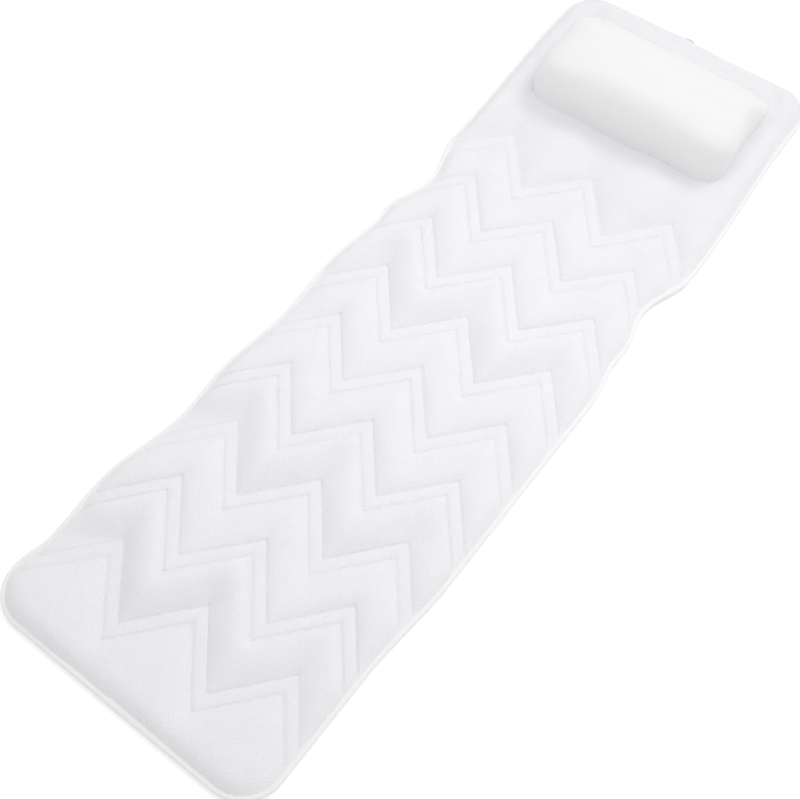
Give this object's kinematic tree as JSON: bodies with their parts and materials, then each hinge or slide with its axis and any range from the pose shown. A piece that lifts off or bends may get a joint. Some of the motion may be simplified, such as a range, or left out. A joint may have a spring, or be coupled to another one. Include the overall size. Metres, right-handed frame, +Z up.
{
  "type": "bath pillow",
  "caption": "Full-body bath pillow: a zigzag-quilted soft mat with a bound edge, a raised head pillow, a hanging loop and suction cups underneath.",
  "frame": {"origin": "under the middle of the whole object, on the surface that the suction cups stand on", "axes": "+Y from the foot end to the head end, +Z up, +X to the right seen from the foot end"},
  "size_m": [0.392, 1.2704, 0.1053],
  "materials": {
    "top_mesh": "white three-dimensional polyester air mesh, matt",
    "spacer_fill": "white spacer mesh",
    "backing_mesh": "white flat mesh, matt",
    "tape": "white woven polyester tape",
    "pillow_cloth": "smooth white knitted cover",
    "pillow_core": "open soft core",
    "clear_vinyl": "clear soft vinyl, glossy",
    "eyelet": "white moulded plastic"
  },
  "bodies": {
    "seat": {"quilt_top_seat": "top_mesh", "fill_seat": "spacer_fill", "backing_seat": "backing_mesh", "binding_seat": "tape", "eyelet_seat_1": "eyelet", "eyelet_seat_2": "eyelet", "eyelet_seat_3": "eyelet", "eyelet_seat_4": "eyelet", "eyelet_seat_5": "eyelet", "eyelet_seat_6": "eyelet"},
    "back": {"quilt_top_back": "top_mesh", "fill_back": "spacer_fill", "backing_back": "backing_mesh", "binding_back_left": "tape", "binding_back_right": "tape", "eyelet_back_1": "eyelet", "eyelet_back_2": "eyelet", "eyelet_back_3": "eyelet", "eyelet_back_4": "eyelet"},
    "head": {"quilt_top_head": "top_mesh", "fill_head": "spacer_fill", "backing_head": "backing_mesh", "binding_head": "tape", "pillow_base": "backing_mesh", "pillow_core": "pillow_core", "pillow_cover": "pillow_cloth", "eyelet_head_1": "eyelet", "eyelet_head_2": "eyelet", "eyelet_head_3": "eyelet", "eyelet_head_4": "eyelet"},
    "loop": {"hanging_loop": "tape"},
    "cup_seat_1": {"suction_cup_seat_1": "clear_vinyl"},
    "cup_seat_2": {"suction_cup_seat_2": "clear_vinyl"},
    "cup_seat_3": {"suction_cup_seat_3": "clear_vinyl"},
    "cup_seat_4": {"suction_cup_seat_4": "clear_vinyl"},
    "cup_seat_5": {"suction_cup_seat_5": "clear_vinyl"},
    "cup_seat_6": {"suction_cup_seat_6": "clear_vinyl"},
    "cup_back_1": {"suction_cup_back_1": "clear_vinyl"},
    "cup_back_2": {"suction_cup_back_2": "clear_vinyl"},
    "cup_back_3": {"suction_cup_back_3": "clear_vinyl"},
    "cup_back_4": {"suction_cup_back_4": "clear_vinyl"},
    "cup_head_1": {"suction_cup_head_1": "clear_vinyl"},
    "cup_head_2": {"suction_cup_head_2": "clear_vinyl"},
    "cup_head_3": {"suction_cup_head_3": "clear_vinyl"},
    "cup_head_4": {"suction_cup_head_4": "clear_vinyl"}
  },
  "joints": [
    {"name": "back_fold", "type": "hinge", "parent": "seat", "child": "back", "pos_m": [0, -0.24015, 0.0262], "axis": [1, 0, 0], "range_deg": [0, 70]},
    {"name": "head_fold", "type": "hinge", "parent": "back", "child": "head", "pos_m": [0, 0.16185, 0.0262], "axis": [1, 0, 0], "range_deg": [0, 60]},
    {"name": "loop_flap", "type": "hinge", "parent": "head", "child": "loop", "pos_m": [-0.016, 0.62515, 0.01555], "axis": [1, 0, 0], "range_deg": [0, 75]},
    {"name": "press_seat_1", "type": "slide", "parent": "seat", "child": "cup_seat_1", "axis": [0, 0, 1], "range_m": [0, 0.003], "stiffness_N_per_m": 200, "springref_m": -0.01},
    {"name": "press_seat_2", "type": "slide", "parent": "seat", "child": "cup_seat_2", "axis": [0, 0, 1], "range_m": [0, 0.003], "stiffness_N_per_m": 200, "springref_m": -0.01},
    {"name": "press_seat_3", "type": "slide", "parent": "seat", "child": "cup_seat_3", "axis": [0, 0, 1], "range_m": [0, 0.003], "stiffness_N_per_m": 200, "springref_m": -0.01},
    {"name": "press_seat_4", "type": "slide", "parent": "seat", "child": "cup_seat_4", "axis": [0, 0, 1], "range_m": [0, 0.003], "stiffness_N_per_m": 200, "springref_m": -0.01},
    {"name": "press_seat_5", "type": "slide", "parent": "seat", "child": "cup_seat_5", "axis": [0, 0, 1], "range_m": [0, 0.003], "stiffness_N_per_m": 200, "springref_m": -0.01},
    {"name": "press_seat_6", "type": "slide", "parent": "seat", "child": "cup_seat_6", "axis": [0, 0, 1], "range_m": [0, 0.003], "stiffness_N_per_m": 200, "springref_m": -0.01},
    {"name": "press_back_1", "type": "slide", "parent": "back", "child": "cup_back_1", "axis": [0, 0, 1], "range_m": [0, 0.003], "stiffness_N_per_m": 200, "springref_m": -0.01},
    {"name": "press_back_2", "type": "slide", "parent": "back", "child": "cup_back_2", "axis": [0, 0, 1], "range_m": [0, 0.003], "stiffness_N_per_m": 200, "springref_m": -0.01},
    {"name": "press_back_3", "type": "slide", "parent": "back", "child": "cup_back_3", "axis": [0, 0, 1], "range_m": [0, 0.003], "stiffness_N_per_m": 200, "springref_m": -0.01},
    {"name": "press_back_4", "type": "slide", "parent": "back", "child": "cup_back_4", "axis": [0, 0, 1], "range_m": [0, 0.003], "stiffness_N_per_m": 200, "springref_m": -0.01},
    {"name": "press_head_1", "type": "slide", "parent": "head", "child": "cup_head_1", "axis": [0, 0, 1], "range_m": [0, 0.003], "stiffness_N_per_m": 200, "springref_m": -0.01},
    {"name": "press_head_2", "type": "slide", "parent": "head", "child": "cup_head_2", "axis": [0, 0, 1], "range_m": [0, 0.003], "stiffness_N_per_m": 200, "springref_m": -0.01},
    {"name": "press_head_3", "type": "slide", "parent": "head", "child": "cup_head_3", "axis": [0, 0, 1], "range_m": [0, 0.003], "stiffness_N_per_m": 200, "springref_m": -0.01},
    {"name": "press_head_4", "type": "slide", "parent": "head", "child": "cup_head_4", "axis": [0, 0, 1], "range_m": [0, 0.003], "stiffness_N_per_m": 200, "springref_m": -0.01}
  ]
}
